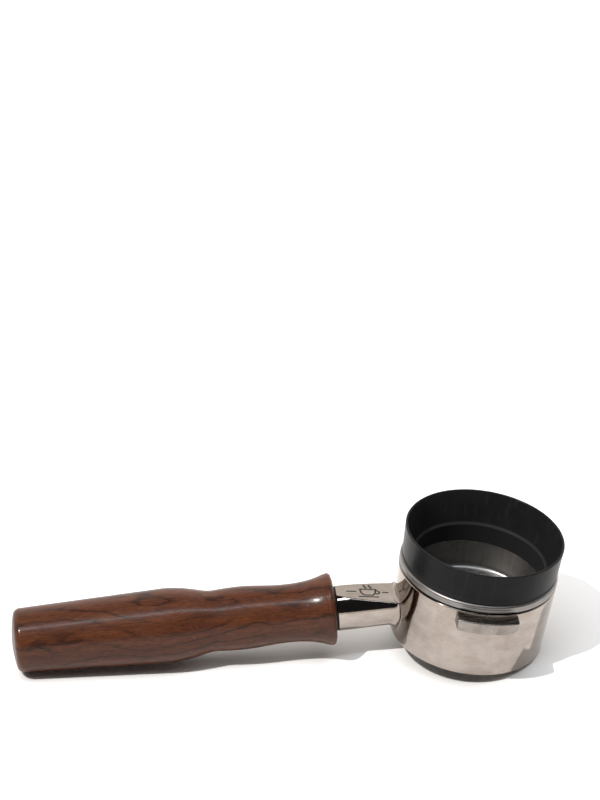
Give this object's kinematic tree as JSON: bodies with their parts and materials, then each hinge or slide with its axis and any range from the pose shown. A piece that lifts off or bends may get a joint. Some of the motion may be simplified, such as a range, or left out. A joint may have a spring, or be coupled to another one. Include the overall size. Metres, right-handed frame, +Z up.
{
  "type": "portafilter",
  "caption": "Bottomless portafilter lying at rest: steel basket holder with bayonet lugs, flat-topped neck, turned wooden handle, lift-out filter basket and a dosing funnel on top.",
  "frame": {"origin": "on the surface that the part lies on, under the middle of its length and width", "axes": "+Z up from the table, -X towards the butt of the handle, +X towards the basket holder, Y across between the two lugs; the basket's axis leans 8.7 degrees from +Z towards +X, because the part rests on the butt of its handle and the far edge of its holder"},
  "size_m": [0.2422, 0.0824, 0.062],
  "materials": {
    "polished_steel": "mirror-polished stainless steel",
    "basket_steel": "satin drawn stainless steel",
    "spring_wire": "bright spring wire",
    "stud_steel": "turned stainless steel",
    "anodised_black": "black anodised aluminium, semi-gloss",
    "brass": "turned brass",
    "washer_rubber": "matt black rubber",
    "handle_wood": "dark red-brown hardwood, oiled and satin-gloss"
  },
  "bodies": {
    "holder": {"holder_body": "polished_steel", "neck": "polished_steel", "neck_stud": "stud_steel", "neck_washer": "washer_rubber", "handle_insert": "brass", "handle": "handle_wood", "basket_spring": "spring_wire"},
    "basket": {"filter_basket": "basket_steel"},
    "funnel": {"dosing_funnel": "anodised_black"}
  },
  "joints": [
    {"name": "basket_lift", "type": "slide", "parent": "holder", "child": "basket", "axis": [0.1516, 0, 0.9884], "range_m": [0, 0.045]},
    {"name": "funnel_lift", "type": "slide", "parent": "basket", "child": "funnel", "axis": [0.1516, 0, 0.9884], "range_m": [0, 0.03]}
  ]
}
